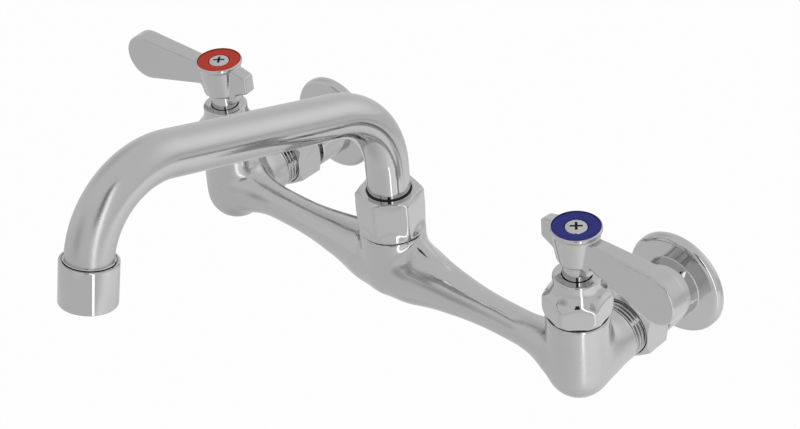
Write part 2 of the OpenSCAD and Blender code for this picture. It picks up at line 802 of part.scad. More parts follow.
// The nut that holds the spout on the hub and lets it swing
module spout_nut() {
    corner = spout_nut_af/2/cos(30);
    outline = [
        [0, spout_nut_z],
        [spout_nut_af/2 + 1, spout_nut_z],
        [corner + 0.2, spout_nut_z + 1.4],
        [corner + 0.2, spout_nut_top_z - 2.4],
        [spout_nut_af/2 - 0.8, spout_nut_top_z],
        [0, spout_nut_top_z]
    ];
    color(chrome) translate([0, -valve_offset, 0]) difference() {
        intersection() {
            rotate_extrude() polygon(outline);
            hexagon(spout_nut_af, spout_nut_z, spout_nut_top_z, spout_nut_facing);
        }
        disc(nut_room_d, spout_nut_z - past, nut_shoulder_z);
        hole(nut_top_bore_d, nut_shoulder_z, spout_nut_top_z);
    }
}

module friction_washer() {
    color(plastic) translate([0, -valve_offset, 0])
        ring(spigot_flange_d, hub_bore_d + 2*clear_gap, spout_neck_top_z, spigot_flange_z);
}

// The open brass ring between the spigot's flange and the nut
module split_ring() {
    gap_w = 2;
    color(brass) translate([0, -valve_offset, 0]) difference() {
        ring(spigot_flange_d, tube_d + 2*clear_gap, spigot_flange_top_z + turn_gap, split_ring_top_z);
        translate([0, -gap_w/2, spigot_flange_top_z]) cube([nut_room_d, gap_w, split_ring_t + past]);
    }
}

// The brass spigot that is brazed into the tube and turns in the hub
module spout_spigot() {
    color(brass) at_spout() difference() {
        union() {
            disc(spigot_d, spigot_bottom_z, spigot_flange_z + past);
            disc(spigot_flange_d, spigot_flange_z + turn_gap, spigot_flange_top_z);
            disc(spigot_stub_d, spigot_flange_top_z, spigot_flange_top_z + spigot_stub_h);
        }
        hole(spigot_bore_d, spigot_bottom_z, spigot_flange_top_z + spigot_stub_h);
        for (i = [0, 1]) ring(spigot_d + 2, oring_groove_d, spigot_groove(i), spigot_groove(i) + oring_groove_h);
    }
}

// Height of the floor of one of the spigot's grooves
function spigot_groove(i) = lower_oring_z + i*oring_pitch;

module spout_orings() {
    color(rubber) at_spout() for (i = [0, 1])
        oring(oring_groove_d, oring_t, spigot_groove(i) + oring_groove_h/2);
}

module wiper_ring() {
    color(rubber) at_spout() oring(tube_d, wiper_t, wiper_z);
}

// The whole path of the spout as a solid bar of diameter d, run on by extra at its tip.
// Its straight pieces are a hair thinner than its bends and lap into them.
module spout_path(d, extra) {
    straight_d = d - 0.04;
    lap = 0.3;
    disc(straight_d, spigot_flange_top_z, riser_z + lap);
    translate([riser_bend_r, 0, riser_z]) rotate([90, 0, 0]) rotate([0, 0, 180 - bend_angle])
        rotate_extrude(angle = bend_angle) translate([riser_bend_r, 0]) circle(d = d);
    translate([run_start[0], 0, run_start[1]]) rotate([0, 90 - run_rise, 0])
        disc(straight_d, -lap, run_l + lap);
    translate([tip_centre[0], 0, tip_centre[1]]) rotate([90, 0, 0]) rotate([0, 0, 90 - tip_fall])
        rotate_extrude(angle = tip_angle) translate([tip_bend_r, 0]) circle(d = d);
    translate([tip_start[0], 0, tip_start[1]]) rotate([0, 90 + tip_fall, 0]) disc(straight_d, -lap, extra);
}

module spout_tube() {
    color(chrome) difference() {
        union() {
            at_spout() spout_path(tube_d, tip_end_s);
            at_tip() disc(tip_collar_d, tip_collar_s, tip_end_s);
        }
        at_spout() spout_path(tube_bore_d, tip_end_s + past);
        at_spout() disc(tube_bore_d - 0.04, spigot_flange_top_z - past, riser_z);
    }
}

module aerator_shell() {
    outline = [
        [0, 0],
        [shell_d/2 - 0.4, 0],
        [shell_d/2, 0.4],
        [shell_d/2, shell_l - 0.5],
        [shell_d/2 - 0.5, shell_l],
        [0, shell_l]
    ];
    color(chrome) at_tip() difference() {
        rotate_extrude() polygon(outline);
        disc(tip_thread_d, -past, shell_step_s);
        hole(shell_bore_d, shell_step_s, shell_l);
    }
}

module aerator_washer() {
    color(rubber) at_tip() ring(tip_collar_d - 0.2, tube_bore_d - 1, tip_end_s, washer_end_s);
}

// The moulded insert that breaks up the stream, a cup with a floor full of holes
module aerator_insert() {
    color(plastic) at_tip() difference() {
        union() {
            disc(tip_collar_d - 0.2, washer_end_s, shell_step_s);
            disc(insert_d, shell_step_s - insert_flange_t/2, insert_end_s);
        }
        disc(insert_d - 2*insert_wall, washer_end_s - past, insert_end_s - insert_floor_t);
        for (k = grid_rings) for (i = [0:max(1, 6*k) - 1]) rotate([0, 0, 60*i/max(1, k)])
            translate([k*grid_pitch, 0, 0]) hole(grid_hole_d, insert_end_s - insert_floor_t, insert_end_s);
    }
}

module aerator_screen() {
    color(steel) at_tip() disc(insert_d - 2*insert_wall - 2*fit_gap, screen_s, screen_s + screen_t);
}

faucet_body();
wall_flange(HOT);  // hot_wall_flange
wall_flange(COLD);  // cold_wall_flange
union_tail(HOT);  // hot_union_tail
union_tail(COLD);  // cold_union_tail
coupling_nut(HOT);  // hot_coupling_nut
coupling_nut(COLD);  // cold_coupling_nut
union_washer(HOT);  // hot_union_washer
union_washer(COLD);  // cold_union_washer
bonnet_gasket(HOT);  // hot_bonnet_gasket
bonnet_gasket(COLD);  // cold_bonnet_gasket
bonnet(HOT);  // hot_bonnet
bonnet(COLD);  // cold_bonnet
cartridge_housing(HOT);  // hot_cartridge_housing
cartridge_housing(COLD);  // cold_cartridge_housing
seat_seal(HOT);  // hot_seat_seal
seat_seal(COLD);  // cold_seat_seal
fixed_disc(HOT);  // hot_fixed_disc
fixed_disc(COLD);  // cold_fixed_disc
turning_disc(HOT);  // hot_turning_disc
turning_disc(COLD);  // cold_turning_disc
stem(HOT);  // hot_stem
stem(COLD);  // cold_stem
stem_orings(HOT);  // hot_stem_orings
stem_orings(COLD);  // cold_stem_orings
stem_clip(HOT);  // hot_stem_clip
stem_clip(COLD);  // cold_stem_clip
lever(HOT);  // hot_lever
lever(COLD);  // cold_lever
index_ring(HOT, hot_red);  // hot_index_ring
index_ring(COLD, cold_blue);  // cold_index_ring
handle_screw(HOT);  // hot_handle_screw
handle_screw(COLD);  // cold_handle_screw
spout_nut();
friction_washer();
split_ring();
spout_spigot();
spout_orings();
wiper_ring();
spout_tube();
aerator_shell();
aerator_washer();
aerator_insert();
aerator_screen();
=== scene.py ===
# %% [markdown]
# # A wall-mounted mixing faucet in polished chrome
# Two quarter-turn lever valves feed one swinging spout. The exact solids come from the packed
# CAD frame. This lesson dresses them: the casting gets soft blends, the nuts get slightly rounded
# edges, and every surface gets a finish of its own.

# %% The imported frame
import json
import math

import bpy
from mathutils import Matrix, Vector

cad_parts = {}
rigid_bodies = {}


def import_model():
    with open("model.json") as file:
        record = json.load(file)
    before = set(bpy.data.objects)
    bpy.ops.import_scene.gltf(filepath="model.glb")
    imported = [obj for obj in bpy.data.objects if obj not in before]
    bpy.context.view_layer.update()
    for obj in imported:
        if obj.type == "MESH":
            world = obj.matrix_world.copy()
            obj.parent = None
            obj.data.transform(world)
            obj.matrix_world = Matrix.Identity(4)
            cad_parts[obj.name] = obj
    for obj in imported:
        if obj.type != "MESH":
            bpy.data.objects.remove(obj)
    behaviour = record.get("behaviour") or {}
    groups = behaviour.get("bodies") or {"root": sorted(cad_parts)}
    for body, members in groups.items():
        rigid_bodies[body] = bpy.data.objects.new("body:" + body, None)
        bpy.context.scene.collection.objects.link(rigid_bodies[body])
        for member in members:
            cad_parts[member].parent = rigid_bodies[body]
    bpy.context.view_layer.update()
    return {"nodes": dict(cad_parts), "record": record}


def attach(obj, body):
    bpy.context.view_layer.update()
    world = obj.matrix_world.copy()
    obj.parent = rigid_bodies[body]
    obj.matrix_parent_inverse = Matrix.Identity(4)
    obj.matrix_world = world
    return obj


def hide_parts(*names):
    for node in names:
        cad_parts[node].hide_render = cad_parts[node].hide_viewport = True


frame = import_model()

MM = 0.001            # the frame is in metres, and the sizes here are in millimetres
HALF = 101.6          # from the middle to each valve
VALVE_Y = -67.0       # the valves' and the spout's axes, in front of the wall
LEVER_TURN = 6.0      # the shut levers stand this many degrees in front of the inlets' line
INLET_BORE = 7.5      # radius of the waterway through tail, thread and casting
CHAMBER_BORE = 9.3    # radius of the room for a cartridge
VALVE_TOP = 25.0      # the rim of a valve body
HUB_BORE = 8.05       # radius of the socket that the spout's spigot turns in
HUB_TOP = 21.6        # the rim of the hub
print("CAD nodes:", len(frame["nodes"]))

# %% [markdown]
# ## The camera
# It comes first, so that every piece can be judged in the picture it is made for. The place, the
# turn and the focal length were worked out from the straight edges and the round rims of the
# faucet: a long lens, from the right front and above, held slightly off level.

# %% The camera at the viewing angle
eye = bpy.data.cameras.new("eye")
eye.sensor_width = 36.0
eye.lens = 87.81
camera = bpy.data.objects.new("eye", eye)
bpy.context.scene.collection.objects.link(camera)
camera.location = (0.48695, -0.53310, 0.51335)
camera.rotation_euler = [math.radians(a) for a in (54.1044, 3.9459, 43.0865)]
bpy.context.scene.camera = camera
print("camera at", tuple(round(c, 3) for c in camera.location))

# %% [markdown]
# ## Tools for turned and sawn pieces
# Most of a faucet is made on a lathe, so most pieces here are an outline that is spun round an
# axis. An outline is a list of (radius, height) in millimetres. It is drawn by extruding one
# vertex from point to point, and then spun a full turn.

# %% Selecting one thing at a time
def rest():
    """Back to object mode with nothing selected, because an operator acts on all that is."""
    if bpy.context.object and bpy.context.object.mode != "OBJECT":
        bpy.ops.object.mode_set(mode="OBJECT")
    bpy.ops.object.select_all(action="DESELECT")


def only(piece):
    rest()
    piece.select_set(True)
    bpy.context.view_layer.objects.active = piece


def place(piece, matrix):
    """Moves the finished piece and bakes its place into its mesh."""
    piece.matrix_world = matrix
    only(piece)
    bpy.ops.object.transform_apply(location=True, rotation=True, scale=True)
    return piece


def apply(piece, kind, **settings):
    """Adds a modifier with these settings and applies it at once."""
    modifier = piece.modifiers.new(kind.lower(), kind)
    for key, value in settings.items():
        setattr(modifier, key, value)
    only(piece)
    bpy.ops.object.modifier_apply(modifier=modifier.name)
    return piece


# %% Drawing an outline with one vertex, then spinning it
def draw(name, points):
    """A chain of edges through points (x, y, z) in millimetres, left in edit mode and selected."""
    rest()
    bpy.ops.mesh.primitive_plane_add(size=MM)
    piece = bpy.context.object
    piece.name = name
    bpy.ops.object.mode_set(mode="EDIT")
    bpy.ops.mesh.select_all(action="SELECT")
    bpy.ops.mesh.merge(type="CENTER")
    at = Vector(points[0])
    bpy.ops.transform.translate(value=at * MM)
    for point in points[1:]:
        step = (Vector(point) - at) * MM
        bpy.ops.mesh.extrude_region_move(TRANSFORM_OT_translate={"value": step})
        at = Vector(point)
    bpy.ops.mesh.select_all(action="SELECT")
    bpy.ops.mesh.remove_doubles(threshold=1e-6)
    return piece


def turned(name, outline, steps=128):
    """A piece turned round Z. An outline that starts and ends on the axis gives a solid body, and
    one that returns to its first point gives a ring."""
    piece = draw(name, [(r, 0, z) for r, z in outline])
    bpy.ops.mesh.select_all(action="SELECT")
    bpy.ops.mesh.spin(steps=steps, angle=math.tau, center=(0, 0, 0), axis=(0, 0, 1))
    bpy.ops.mesh.select_all(action="SELECT")
    bpy.ops.mesh.remove_doubles(threshold=2e-6)
    bpy.ops.mesh.normals_make_consistent(inside=False)
    rest()
    return piece


def plate(name, outline, thickness):
    """A flat piece sawn to an outline of (x, z), as thick as given and centred on y = 0."""
    closed = outline + outline[:1]
    piece = draw(name, [(x, -thickness / 2, z) for x, z in closed])
    bpy.ops.mesh.select_all(action="SELECT")
    bpy.ops.mesh.edge_face_add()
    bpy.ops.mesh.extrude_region_move(TRANSFORM_OT_translate={"value": (0, thickness * MM, 0)})
    bpy.ops.mesh.select_all(action="SELECT")
    bpy.ops.mesh.normals_make_consistent(inside=False)
    rest()
    return piece


def arc(centre, radius, start, end, steps=8):
    """Points of an arc in an outline, from one angle in degrees to another."""
    turns = [math.radians(start + (end - start) * i / steps) for i in range(steps + 1)]
    return [(centre[0] + radius * math.cos(t), centre[1] + radius * math.sin(t)) for t in turns]


# %% Joining, cutting and softening
def combine(piece, tool, how):
    """UNION, DIFFERENCE or INTERSECT with a tool, which is used up."""
    apply(piece, "BOOLEAN", operation=how, object=tool, solver="EXACT")
    bpy.data.objects.remove(tool, do_unlink=True)
    return piece


def hexagon(across, low, high, facing):
    """A six-sided bar of a size across its flats, turned by the angle given, from low to high."""
    rest()
    bpy.ops.mesh.primitive_cylinder_add(
        vertices=6, radius=across / 2 / math.cos(math.pi / 6) * MM, depth=(high - low) * MM,
        location=(0, 0, (low + high) / 2 * MM), rotation=(0, 0, math.radians(facing)))
    bar = bpy.context.object
    bpy.ops.object.transform_apply(location=True, rotation=True, scale=True)
    return bar


def recast(piece, voxel, rounds):
    """Wraps the piece in an even skin of quads and smooths it, as sanding and buffing do."""
    apply(piece, "REMESH", mode="VOXEL", voxel_size=voxel * MM)
    apply(piece, "SMOOTH", factor=0.5, iterations=rounds)
    only(piece)
    bpy.ops.object.shade_smooth()
    return piece


def soften(piece, rounds, weight):
    """Smooths a piece further, by a weight from 0 to 1 for each point in millimetres."""
    group = piece.vertex_groups.new(name="softer")
    for vertex in piece.data.vertices:
        group.add([vertex.index], weight(vertex.co / MM), "REPLACE")
    apply(piece, "SMOOTH", factor=0.5, iterations=rounds, vertex_group="softer")
    piece.vertex_groups.clear()


def ease(value, low, high):
    """0 below low, 1 above high, and a soft step between them."""
    t = min(1.0, max(0.0, (value - low) / (high - low)))
    return t * t * (3 - 2 * t)


def smooth(piece, angle=35):
    """Smooth shading, except over edges that turn by more than the angle."""
    only(piece)
    bpy.ops.object.shade_smooth_by_angle(angle=math.radians(angle))
    return piece


def crisp(piece, width=0.25, segments=3):
    """Breaks the sharp edges of a machined piece, and keeps its flats flat in the shading."""
    apply(piece, "BEVEL", width=width * MM, segments=segments, limit_method="ANGLE",
          angle_limit=math.radians(28), harden_normals=False)
    apply(smooth(piece), "WEIGHTED_NORMAL", keep_sharp=True)
    return piece


def twin(piece, name):
    """A copy with its own mesh."""
    copy = piece.copy()
    copy.data = piece.data.copy()
    copy.name = name
    bpy.context.scene.collection.objects.link(copy)
    return copy


def triangles(piece):
    return sum(len(p.vertices) - 2 for p in piece.data.polygons)


# %% Where the pieces go
def at_valve(side):
    """On a valve's axis, with Z up. side is -1 for hot and +1 for cold."""
    return Matrix.Translation((side * HALF * MM, VALVE_Y * MM, 0))


def at_inlet(side):
    """On an inlet's axis, with the piece's Z leading away from the wall."""
    return Matrix.Translation((side * HALF * MM, 0, 0)) @ Matrix.Rotation(math.radians(90), 4, "X")


at_hub = Matrix.Translation((0, VALVE_Y * MM, 0))
SIDES = {"hot": -1, "cold": 1}

# %% [markdown]
# ## The body casting
# The body is one casting: two upright valve bodies with round bottoms, a hub for the spout, arms
# that widen like trumpets at both ends, and a short arm to each inlet. A bevel along the joints
# would run into itself where four forms meet. So the pieces are turned one by one, joined and
# wrapped in one skin, and the joints are smoothed more than the rest, as a buffing wheel does.

# %% The arms' outline
ARM_WAIST = 7.35                    # an arm's radius at its thinnest
HUB_FLARE, VALVE_FLARE = 6.9, 4.3   # how much it widens towards the hub and towards a valve
ARM_LIFT = 2.15                     # its axis lies this much above the inlets' axes


def arm_radius(x):
    """Radius of an arm at a distance x from the hub's axis."""
    x = abs(x)
    to_hub = max(0.0, 62.0 - max(x, 14.0)) / 48.0
    to_valve = max(0.0, min(x, 91.5) - 70.6) / 19.0
    return ARM_WAIST + HUB_FLARE * to_hub ** 2 + VALVE_FLARE * to_valve ** 2


stations = [-HALF + 2 * HALF * i / 96 for i in range(97)]
arm_outline = [(0, -HALF)] + [(arm_radius(x), x) for x in stations] + [(0, HALF)]
print("arm radius at its thinnest:", round(min(r for r, x in arm_outline[1:-1]), 2), "mm")

# %% The body's rough shape
body = turned("faucet_casting", arm_outline)
place(body, at_hub @ Matrix.Translation((0, 0, ARM_LIFT * MM)) @ Matrix.Rotation(math.radians(90), 4, "Y"))
hub = turned("hub", arc((0, 2.0), 15.0, -90, 0, 24) + [(14.6, 12), (14.4, HUB_TOP), (0, HUB_TOP)])
combine(body, place(hub, at_hub), "UNION")
saddle_outline = [(0, 10.0), (13.4, 12.0), (13.4, 15.0), (12.6, 17.0), (11.2, 19.4), (9.6, 22.4),
                  (8.0, 26.2), (6.4, 31.0), (0, 34.0)]
SADDLE_LIFT, SADDLE_WIDTH = 8.0, 0.62
lying = Matrix.Diagonal((1, SADDLE_WIDTH, 1, 1)) @ Matrix.Rotation(math.radians(90), 4, "Y")
saddle = place(turned("saddle", saddle_outline), Matrix.Translation((0, 0, SADDLE_LIFT * MM)) @ lying)
combine(body, place(saddle, at_hub), "UNION")
upright = [(13.4, 10), (13.2, 18), (13.2, VALVE_TOP), (0, VALVE_TOP)]
heel_outline = [(0, 50.0), (12.4, 50.0), (13.1, 56.0), (13.6, 62.0), (13.5, 67.0), (0, 67.0)]
HEEL_DROP = 1.2
for side in SIDES.values():
    column = turned("column", arc((0, -2.2), 13.75, -90, 0, 24) + upright)
    combine(body, place(column, at_valve(side)), "UNION")
    stub = turned("stub", [(0, 44.9), (12.9, 44.9), (12.95, 67), (0, 67)])
    combine(body, place(stub, at_inlet(side)), "UNION")
    lower = Matrix.Translation((0, 0, -HEEL_DROP * MM))
    combine(body, place(turned("heel", heel_outline), lower @ at_inlet(side)), "UNION")
print("rough body:", triangles(body), "triangles")

# %% One skin over all of it
recast(body, 0.55, 6)


def buffing(point):
    """How much a point of the body is smoothed: fully at the joints, not at all at the rims."""
    x, y, z = point
    hub_joint = ease(40 - abs(x), 0, 14) * ease(21.2 - z, 0, 7)
    from_valve = abs(abs(x) - HALF)
    valve_joint = ease(26 - from_valve, 0, 8) * ease(23.5 - z, 0, 4) * ease(-y, 47, 52)
    return max(hub_joint, valve_joint)


def hub_blend(point):
    """The whole of the hub's sides, so that the arms grow out of it without a crease."""
    x, y, z = point
    return ease(abs(x), 1, 7) * ease(38 - abs(x), 0, 14) * ease(21.3 - z, 0, 10)


def armpit(point):
    """The hollow between an upright and its short arm to the inlet."""
    x, y, z = point
    beside = ease(y, -71, -64) * ease(-y, 46, 51) * ease(24 - abs(abs(x) - HALF), 0, 6)
    return beside * ease(z, -10, 2) * ease(23 - z, 0, 12)


def belly(point):
    """The undersides and the wide corners round each upright, where no crease may be left."""
    x, y, z = point
    under_hub = ease(38 - abs(x), 0, 12) * ease(9 - z, 0, 5)
    round_valve = ease(28 - abs(abs(x) - HALF), 0, 8) * ease(22 - z, 0, 16) * ease(-y, 47, 53)
    return max(under_hub, round_valve)


soften(body, 60, buffing)
soften(body, 200, hub_blend)
soften(body, 110, belly)
soften(body, 240, armpit)
only(body)
bpy.ops.object.shade_smooth()
print("smoothed body:", triangles(body), "triangles")

# %% Its waterways and chambers
chamber_outline = [(0, -9.2), (4.5, -9.2), (4.5, -2.5), (CHAMBER_BORE, -2.5), (CHAMBER_BORE, 11),
                   (10.6, 11), (10.6, VALVE_TOP + 1), (0, VALVE_TOP + 1)]
for side in SIDES.values():
    combine(body, place(turned("chamber", chamber_outline), at_valve(side)), "DIFFERENCE")
    bore = turned("bore", [(0, 40), (INLET_BORE, 40), (INLET_BORE, 48.9), (0, 48.9)])
    combine(body, place(bore, at_inlet(side)), "DIFFERENCE")
socket = turned("socket", [(0, 7.5), (HUB_BORE, 7.5), (HUB_BORE, 23), (0, 23)])
combine(body, place(socket, at_hub), "DIFFERENCE")
smooth(body, 50)
print("finished body:", triangles(body), "triangles")

# %% [markdown]
# ## The threaded ends
# In front of each coupling nut a little of the union's thread shows: a few round crests with dark
# roots between them. A screw thread would need a helix. Plain grooves look the same from a step
# away and can be turned, so that is how they are made here. The hub's neck carries a thread too,
# hidden in the spout nut, and a plated tail leads from each nut into its flange.

# %% Union threads and the hub's neck
def crests(root, crest, low, high, pitch):
    """An outline's stretch of thread, from low to high."""
    points = []
    z = low
    while z + pitch <= high + 1e-6:
        points += [(root, z), (root, z + 0.2 * pitch)]
        points += [(crest, z + 0.48 * pitch), (crest, z + 0.76 * pitch)]
        z += pitch
    return points + [(root, z)]


UNION_CREST = 12.75
threads = {}
for name, side in SIDES.items():
    outline = ([(INLET_BORE, 31.0)] + crests(11.3, UNION_CREST, 31.2, 45.4, 1.75)
               + [(INLET_BORE, 45.4), (INLET_BORE, 31.0)])
    threads[name] = place(crisp(turned(name + "_union_thread", outline), 0.12, 2), at_inlet(side))
neck_outline = ([(HUB_BORE, 21.2)] + crests(10.6, 11.1, 21.2, 32.5, 1.6)
                + [(10.6, 33.0), (HUB_BORE, 33.0), (HUB_BORE, 21.2)])
neck = place(crisp(turned("hub_neck", neck_outline), 0.1, 2), at_hub)
print("union thread:", 2 * UNION_CREST, "mm across")

# %% Union tails
tail_outline = [(INLET_BORE, 19.2), (8.45, 19.2), (8.45, 23.0), (9.1, 23.0), (9.5, 23.4), (9.5, 27.55),
                (12.35, 27.55), (12.35, 29.5), (INLET_BORE, 29.5), (INLET_BORE, 19.2)]
for name, side in SIDES.items():
    tail = place(crisp(turned(name + "_tail", tail_outline, 96), 0.12, 2), at_inlet(side))
    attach(tail, "body")
    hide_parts(name + "_union_tail")
print("tails:", triangles(tail), "triangles each")

# %% [markdown]
# ## Flanges and coupling nuts
# A flange and its socket are one turned piece with a soft front rim. A coupling nut is a hexagonal
# bar that is turned at both ends, so its corners are cut back in curved lines. A bevel can't draw
# those lines, but intersecting the turned blank and the bar gives them, as the lathe does.

# %% Wall flanges
THREAD_WALL = 10.0
flange_rim = [(THREAD_WALL, 0), (23.2, 0), (23.4, 0.3)] + arc((20.6, 1.6), 2.8, 0, 90, 10)
flange_socket = [(14.0, 4.4)] + arc((14.0, 4.9), 0.5, -90, -180, 4) + arc((12.8, 22.3), 0.7, 0, 90, 5)
flange_inside = [(8.5, 23.0), (8.5, 19.0), (INLET_BORE, 19.0), (INLET_BORE, 13.0), (THREAD_WALL, 13.0),
                 (THREAD_WALL, 0)]
for name, side in SIDES.items():
    flange = turned(name + "_flange", flange_rim + flange_socket + flange_inside, 160)
    place(smooth(flange, 40), at_inlet(side))
    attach(flange, "body")
    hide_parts(name + "_wall_flange")
print("flanges:", triangles(flange), "triangles each")

# %% Coupling nuts
COUPLING_FLATS = 28.0
barrel = [(9.6, 25.7), (13.7, 25.7), (16.3, 27.3), (16.3, 38.1), (13.8, 39.7), (13.2, 39.7),
          (12.5, 38.5), (12.5, 27.5), (9.6, 27.5), (9.6, 25.7)]
for name, side in SIDES.items():
    nut = combine(turned(name + "_nut", barrel, 96), hexagon(COUPLING_FLATS, 25, 41, 0), "INTERSECT")
    place(crisp(nut, 0.3), at_inlet(side))
    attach(nut, "body")
    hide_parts(name + "_coupling_nut")
print("coupling nuts:", triangles(nut), "triangles each")

# %% [markdown]
# ## Bonnets
# Each bonnet is turned with a hollow shoulder that leads up to a round neck, and then gets six
# flats for a wrench. Turned blank and hexagonal bar are intersected again. This time they are also
# wrapped in one skin and smoothed round the middle, because buffing has taken its corners.

# %% A bonnet
BONNET_FLATS = 25.0
SHANK_BORE = 7.4
bottom = [(0, 25.5), (12.9, 25.5), (13.6, 26.3), (14.2, 27.6), (14.5, 29.2)]
shoulder = [(14.5, 33.2), (14.0, 34.3), (12.9, 35.2), (11.7, 36.4), (10.9, 37.8), (10.3, 39.4),
            (9.95, 41.0)]
round_neck = [(9.95, 43.8), (9.7, 44.3), (9.2, 44.5), (0, 44.5)]
bonnet = turned("bonnet", bottom + shoulder + round_neck, 160)
combine(bonnet, hexagon(BONNET_FLATS, 24, 46, -50), "INTERSECT")
recast(bonnet, 0.28, 3)
soften(bonnet, 60, lambda point: ease(point.z, 25.6, 28.5) * ease(41.5 - point.z, 0, 3))
stem_room = [(0, 12), (SHANK_BORE, 12), (SHANK_BORE, 40.5), (6.35, 40.5), (6.35, 46), (0, 46)]
combine(bonnet, turned("room", stem_room, 96), "DIFFERENCE")
smooth(bonnet, 50)
print("a bonnet:", triangles(bonnet), "triangles")

# %% Both bonnets, their threads and gaskets
shank_outline = ([(SHANK_BORE, 13.6)] + crests(10.0, 10.5, 13.6, 24.8, 1.6)
                 + [(10.0, 25.8), (SHANK_BORE, 25.8), (SHANK_BORE, 13.6)])
gasket_outline = [(10.8, 25.0), (12.5, 25.0), (12.7, 25.25), (12.5, 25.5), (10.8, 25.5), (10.8, 25.0)]
for name, side in SIDES.items():
    dome = place(twin(bonnet, name + "_bonnet_cap"), at_valve(side))
    shank = place(crisp(turned(name + "_bonnet_thread", shank_outline, 96), 0.1, 2), at_valve(side))
    gasket = place(smooth(turned(name + "_gasket", gasket_outline)), at_valve(side))
    for piece, node, slot in ((dome, "_bonnet", "chrome"), (shank, "_bonnet", "chrome"),
                              (gasket, "_bonnet_gasket", "rubber")):
        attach(piece, "body")
        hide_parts(name + node)
bpy.data.objects.remove(bonnet, do_unlink=True)

# %% [markdown]
# ## Levers
# A lever is a conical hub with a flat paddle on one side and a short stub on the other. The paddle
# widens towards its round tip, and gets thicker too. Hub and paddle are joined and wrapped in one
# skin, so a small fillet runs along each joint, as on the casting. One lever is made, with its
# screw, and each valve gets a copy.

# %% The paddle, sawn from a plate and tapered
tip = arc((43.33, 57.0), 10.67, 94.6, -102.1, 40)
STUB_END = -17.0
PADDLE_LENGTH = 71.0
upper_edge = [(STUB_END, 56.3), (STUB_END, 63.6), (-16.2, 64.3), (-11.0, 65.9), (9.0, 65.0)]
under_edge = [(10.5, 53.2), (9.9, 52.3), (9.0, 48.8), (8.0, 47.7), (6.4, 47.2), (-6.4, 47.2),
              (-8.0, 47.7), (-9.0, 48.8), (-10.0, 52.6), (-10.8, 53.4), (-16.2, 55.5)]
paddle = plate("paddle", upper_edge + tip + under_edge, 2.0)
for vertex in paddle.data.vertices:
    reach = (vertex.co.x / MM - STUB_END) / PADDLE_LENGTH
    vertex.co.y *= 3.0 + 1.3 * reach
apply(paddle, "BEVEL", width=1.0 * MM, segments=4, limit_method="ANGLE", angle_limit=math.radians(50))
print("paddle:", round(paddle.dimensions.x / MM, 1), "mm long")

# %% The lever in one skin, with a seat for the index ring
LEVER_TOP = 67.6
RING_SEAT = 65.4
cone = [(0, 43.1), (5.75, 43.1), (5.95, 43.3), (5.95, 51.2), (6.9, 51.2), (7.4, 51.8), (9.85, 65.6),
        (10.35, 66.1), (10.35, 67.2), (10.0, LEVER_TOP), (0, LEVER_TOP)]
lever = combine(turned("lever", cone, 160), paddle, "UNION")
recast(lever, 0.34, 4)
seat_outline = [(0, 50.0), (3.3, 50.0), (3.3, 60.2), (2.2, 60.2), (2.2, RING_SEAT), (9.8, RING_SEAT),
                (9.8, 70), (0, 70)]
combine(lever, turned("seat", seat_outline, 96), "DIFFERENCE")
room = turned("room", [(0, 40.0), (4.6, 40.0), (4.6, 45.1), (0, 45.1)], 96)
combine(lever, room, "DIFFERENCE")
drive = plate("drive", [(-3.2, 44.5), (-3.2, 60.3), (3.2, 60.3), (3.2, 44.5)], 6.4)
combine(lever, drive, "DIFFERENCE")
smooth(lever, 50)
print("a lever:", triangles(lever), "triangles")

# %% The index ring and the screw
ring_outline = ([(4.75, 65.5), (9.4, 65.5), (9.7, 65.8)] + arc((9.45, 66.95), 0.25, 0, 90, 4)
                + arc((5.0, 66.95), 0.25, 90, 180, 4) + [(4.75, 65.5)])
screw_outline = [(0, 52.4), (1.6, 52.4), (2.0, 52.9), (2.0, RING_SEAT), (4.45, RING_SEAT), (4.6, 65.6),
                 (4.55, 66.9), (4.2, 67.3), (2.4, 67.55), (0, LEVER_TOP)]
screw = crisp(turned("screw", screw_outline, 96), 0.12, 2)
blade = [(-2.6, 68.0), (2.6, 68.0), (2.4, 66.4), (0.6, 65.0), (-0.6, 65.0), (-2.4, 66.4)]
for turn in (40, 130):
    cross = place(plate("cross", blade, 1.05), Matrix.Rotation(math.radians(turn), 4, "Z"))
    combine(screw, cross, "DIFFERENCE")
print("a screw:", triangles(screw), "triangles")

# %% Hot and cold handles
for name, side in SIDES.items():
    facing = -LEVER_TURN if side > 0 else 180 + LEVER_TURN
    turn = at_valve(side) @ Matrix.Rotation(math.radians(facing), 4, "Z")
    arm = place(twin(lever, name + "_handle"), turn)
    index = place(smooth(turned(name + "_index", ring_outline)), at_valve(side))
    pin = place(twin(screw, name + "_screw"), at_valve(side))
    enamel = "hot_red" if side < 0 else "cold_blue"
    for piece, node, slot in ((arm, "_lever", "chrome"), (index, "_index_ring", enamel),
                              (pin, "_handle_screw", "steel")):
        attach(piece, name + "_handle")
        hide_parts(name + node)
bpy.data.objects.remove(lever, do_unlink=True)
bpy.data.objects.remove(screw, do_unlink=True)

# %% [markdown]
# ## The spout nut
# Its flats lean in a little towards the top, as if ground by a large wheel. Six big spheres, each
# biting into the top of one flat, do that here, where a plane cut would leave a hard line. Below,
# the flats run out into a round foot. One skin over both, smoothed at each end, joins them.

